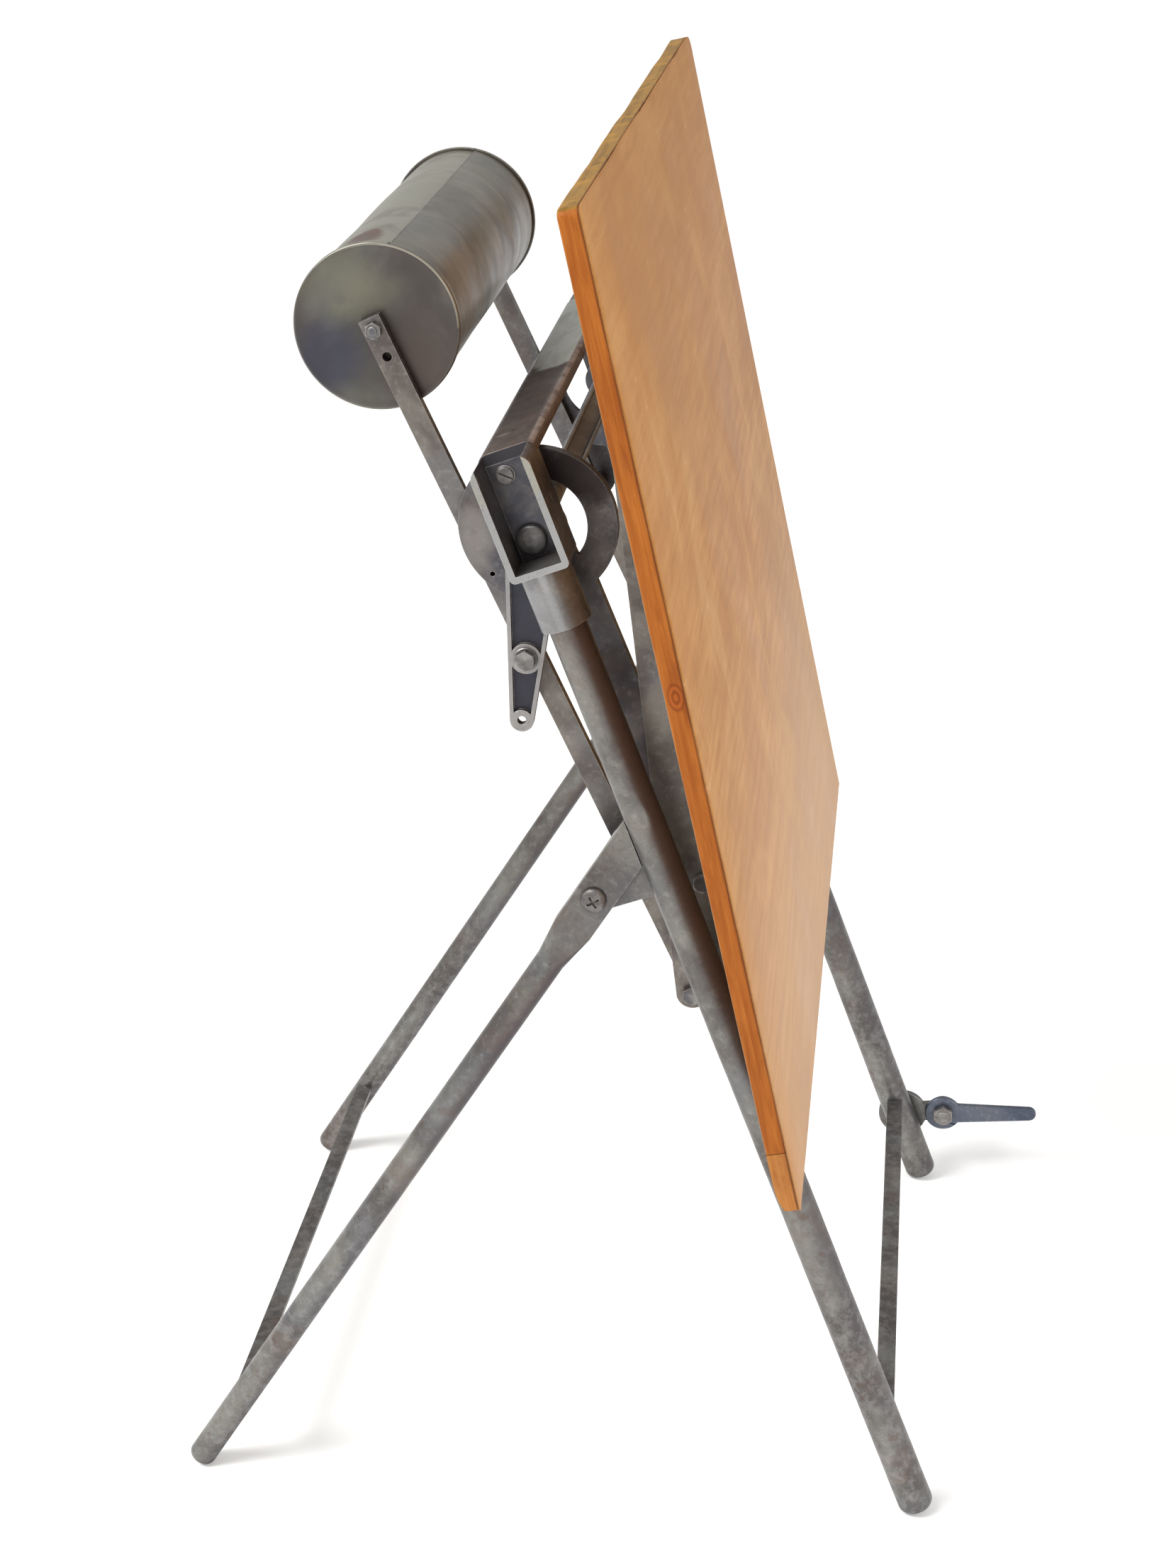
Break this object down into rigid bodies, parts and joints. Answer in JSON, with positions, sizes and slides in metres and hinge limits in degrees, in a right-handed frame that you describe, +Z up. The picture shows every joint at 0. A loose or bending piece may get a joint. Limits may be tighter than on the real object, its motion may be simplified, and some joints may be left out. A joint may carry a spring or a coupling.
{
  "type": "tabletop easel",
  "caption": "Folding tabletop easel with a wooden drawing board on a counterbalanced parallel linkage, leaning pipe legs and a weighted drum.",
  "frame": {"origin": "centre of the overall box at table level, with the board at rest and the legs open", "axes": "+Z up; -Y towards the person who draws, so the board faces -Y; +X to the right as seen from behind the easel looking along +Y"},
  "size_m": [0.58, 0.5236, 0.7916],
  "materials": {
    "pipe_steel": "aged bare pipe with brown and blue-grey stains",
    "tray_iron": "cast, dark recess with a worn bright rim",
    "crossbar_iron": "cast, brown patina with a worn grey patch",
    "linkage_iron": "cast, mottled brown and grey",
    "bar_steel": "mill-finished flat bar and sheet, aged",
    "drum_steel": "rolled sheet, stained grey-brown",
    "ballast_iron": "rough",
    "fastener_steel": "worn",
    "pedal_steel": "dark blued, worn edges",
    "board_wood": "oiled, lightly scratched",
    "core_wood": "oiled, edges stained orange-brown",
    "cleat_wood": "oiled, stained edges"
  },
  "bodies": {
    "frame": {"left_front_leg": "pipe_steel", "right_front_leg": "pipe_steel", "left_head_bracket": "tray_iron", "right_head_bracket": "tray_iron", "crossbar": "crossbar_iron", "crossbar_screws": "fastener_steel", "left_gusset": "pipe_steel", "right_gusset": "pipe_steel", "front_stretcher": "pipe_steel", "leg_pivot_screws": "fastener_steel", "leg_pivot_nuts": "fastener_steel", "pedal_bracket": "pipe_steel", "pedal_bolt": "fastener_steel", "pedal_nut": "fastener_steel"},
    "rear_frame": {"left_rear_leg": "pipe_steel", "right_rear_leg": "pipe_steel", "rear_stretcher": "pipe_steel"},
    "tilt_yoke": {"head_shaft": "fastener_steel", "left_tilt_lever": "linkage_iron", "right_tilt_lever": "linkage_iron", "lever_pivot_bolts": "fastener_steel", "lever_pivot_nuts": "fastener_steel"},
    "lift_arms": {"left_lift_arm": "linkage_iron", "right_lift_arm": "linkage_iron", "arm_tie_bar": "bar_steel"},
    "weight_bars": {"left_weight_bar": "bar_steel", "right_weight_bar": "bar_steel", "drum_shell": "drum_steel", "left_drum_cap": "drum_steel", "right_drum_cap": "drum_steel", "drum_rod": "fastener_steel", "drum_nuts": "fastener_steel", "drum_ballast": "ballast_iron"},
    "board": {"face_panel": "board_wood", "board_core": "core_wood", "bottom_cleat": "cleat_wood", "left_board_bracket": "bar_steel", "right_board_bracket": "bar_steel", "board_screws": "fastener_steel", "upper_link_bolts": "fastener_steel", "lower_link_bolts": "fastener_steel", "link_nuts": "fastener_steel"},
    "pedal": {"pedal_lever": "pedal_steel"}
  },
  "joints": [
    {"name": "tilt", "type": "hinge", "parent": "frame", "child": "tilt_yoke", "pos_m": [0, 0.03659, 0.5966], "axis": [-1, 0, 0], "range_deg": [0, 40]},
    {"name": "lift", "type": "hinge", "parent": "tilt_yoke", "child": "lift_arms", "pos_m": [0, 0.03659, 0.5966], "axis": [-1, 0, 0], "range_deg": [0, 55]},
    {"name": "bar_link", "type": "hinge", "parent": "tilt_yoke", "child": "weight_bars", "pos_m": [0, 0.04273, 0.52647], "axis": [-1, 0, 0], "range_deg": [0, 55]},
    {"name": "board_link", "type": "hinge", "parent": "lift_arms", "child": "board", "pos_m": [0, -0.05199, 0.39479], "axis": [1, 0, 0], "range_deg": [0, 55]},
    {"name": "rear_fold", "type": "hinge", "parent": "frame", "child": "rear_frame", "pos_m": [0, 0.00589, 0.394], "axis": [-1, 0, 0], "range_deg": [0, 52]},
    {"name": "pedal_press", "type": "hinge", "parent": "frame", "child": "pedal", "pos_m": [0.199, -0.19581, 0.0485], "axis": [1, 0, 0], "range_deg": [0, 25]}
  ],
  "couplings": [
    {"joint": "bar_link", "follows": "lift", "ratio": 1},
    {"joint": "board_link", "follows": "lift", "ratio": 1}
  ]
}
